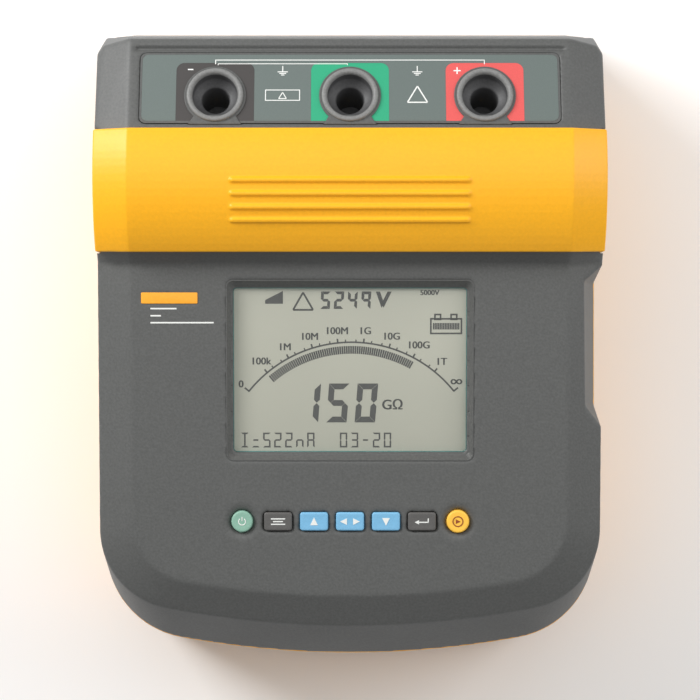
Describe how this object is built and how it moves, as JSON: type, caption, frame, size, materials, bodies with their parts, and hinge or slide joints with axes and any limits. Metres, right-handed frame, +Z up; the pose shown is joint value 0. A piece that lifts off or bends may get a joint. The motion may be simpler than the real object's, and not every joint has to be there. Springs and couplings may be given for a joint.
{
  "type": "insulation resistance tester",
  "caption": "Bench insulation resistance tester with a yellow case and cover band, a grey sloping panel with a display and sprung keys, and shrouded test sockets at the rear.",
  "frame": {"origin": "centre of the case's bounding box at ground level", "axes": "+X to the right across the case, +Y from the bowed front edge to the socket end, +Z up"},
  "size_m": [0.242, 0.33, 0.1699],
  "materials": {
    "yellow_plastic": "fine moulded texture",
    "grey_plastic": "fine moulded texture",
    "label_grey": "printed film, satin",
    "tab_black": "printed film, satin",
    "tab_green": "printed film, satin",
    "tab_red": "printed film, satin",
    "socket_plastic": "satin",
    "contact_brass": "plated",
    "bumper_grey": "firm grey rubber skin",
    "black_plastic": "moulded",
    "clear_lens": "polished clear acrylic",
    "black_rubber": "matt",
    "display_glass": "satin display face",
    "diffuser": "milky",
    "elastomer": "striped conductive rubber",
    "silicone": "translucent grey",
    "key_green": "satin",
    "key_dark": "satin",
    "key_blue": "satin",
    "key_orange": "satin",
    "board_green": "solder resist",
    "screw_steel": "zinc plated",
    "component_black": "moulded epoxy",
    "capacitor_sleeve": "shrink sleeve",
    "ferrite": "dull ferrite",
    "winding_tape": "wound tape",
    "relay_plastic": "moulded",
    "transformer_tape": "wound tape",
    "battery_case": "moulded",
    "terminal_metal": "tinned",
    "strap_metal": "brushed",
    "lead_red": "insulation",
    "ribbon": "ribbed insulation",
    "dark_window": "polished",
    "led_body": "clear dark epoxy",
    "badge_orange": "satin",
    "plate_silver": "matt foil"
  },
  "bodies": {
    "case": {"lower_case": "yellow_plastic", "hump_cover": "yellow_plastic", "upper_case": "grey_plastic", "terminal_panel": "grey_plastic", "terminal_label": "label_grey", "label_tab_black": "tab_black", "label_tab_green": "tab_green", "label_tab_red": "tab_red", "socket_minus": "socket_plastic", "socket_guard": "socket_plastic", "socket_plus": "socket_plastic", "socket_contacts": "contact_brass", "rear_bumper": "bumper_grey", "terminal_block": "black_plastic", "ac_inlet": "black_plastic", "fuse_holder": "black_plastic", "buzzer": "black_plastic", "display_lens": "clear_lens", "lens_gasket": "black_rubber", "case_seal": "black_rubber", "rubber_feet": "black_rubber", "lcd_glass": "display_glass", "lcd_backlight": "diffuser", "lcd_holder": "diffuser", "lcd_connectors": "elastomer", "keypad_mat": "silicone", "front_board": "board_green", "main_board": "board_green", "hv_board": "board_green", "charger_board": "board_green", "front_board_screws": "screw_steel", "board_screws": "screw_steel", "case_screws": "screw_steel", "cover_screws": "screw_steel", "inlet_screws": "screw_steel", "control_chips": "component_black", "hv_multiplier": "component_black", "capacitors": "capacitor_sleeve", "hv_transformer_core": "ferrite", "hv_transformer_coil": "winding_tape", "hv_relays": "relay_plastic", "charger_transformer": "transformer_tape", "battery": "battery_case", "battery_tabs": "terminal_metal", "ac_inlet_pins": "terminal_metal", "battery_strap": "strap_metal", "battery_leads": "lead_red", "hv_leads": "lead_red", "ribbon_cable": "ribbon", "ir_window": "dark_window", "ir_leds": "led_body", "badge_plate": "badge_orange", "rating_plate": "plate_silver"},
    "power_button": {"key_power": "key_green"},
    "function_button": {"key_function": "key_dark"},
    "up_button": {"key_up": "key_blue"},
    "left_right_button": {"key_left_right": "key_blue"},
    "down_button": {"key_down": "key_blue"},
    "enter_button": {"key_enter": "key_dark"},
    "test_button": {"key_test": "key_orange"}
  },
  "joints": [
    {"name": "press_power", "type": "slide", "parent": "case", "child": "power_button", "axis": [0, 0.075, -0.9972], "range_m": [0, 0.0015], "stiffness_N_per_m": 600},
    {"name": "press_function", "type": "slide", "parent": "case", "child": "function_button", "axis": [0, 0.075, -0.9972], "range_m": [0, 0.0015], "stiffness_N_per_m": 600},
    {"name": "press_up", "type": "slide", "parent": "case", "child": "up_button", "axis": [0, 0.075, -0.9972], "range_m": [0, 0.0015], "stiffness_N_per_m": 600},
    {"name": "press_left_right", "type": "slide", "parent": "case", "child": "left_right_button", "axis": [0, 0.075, -0.9972], "range_m": [0, 0.0015], "stiffness_N_per_m": 600},
    {"name": "press_down", "type": "slide", "parent": "case", "child": "down_button", "axis": [0, 0.075, -0.9972], "range_m": [0, 0.0015], "stiffness_N_per_m": 600},
    {"name": "press_enter", "type": "slide", "parent": "case", "child": "enter_button", "axis": [0, 0.075, -0.9972], "range_m": [0, 0.0015], "stiffness_N_per_m": 600},
    {"name": "press_test", "type": "slide", "parent": "case", "child": "test_button", "axis": [0, 0.075, -0.9972], "range_m": [0, 0.0015], "stiffness_N_per_m": 600}
  ]
}
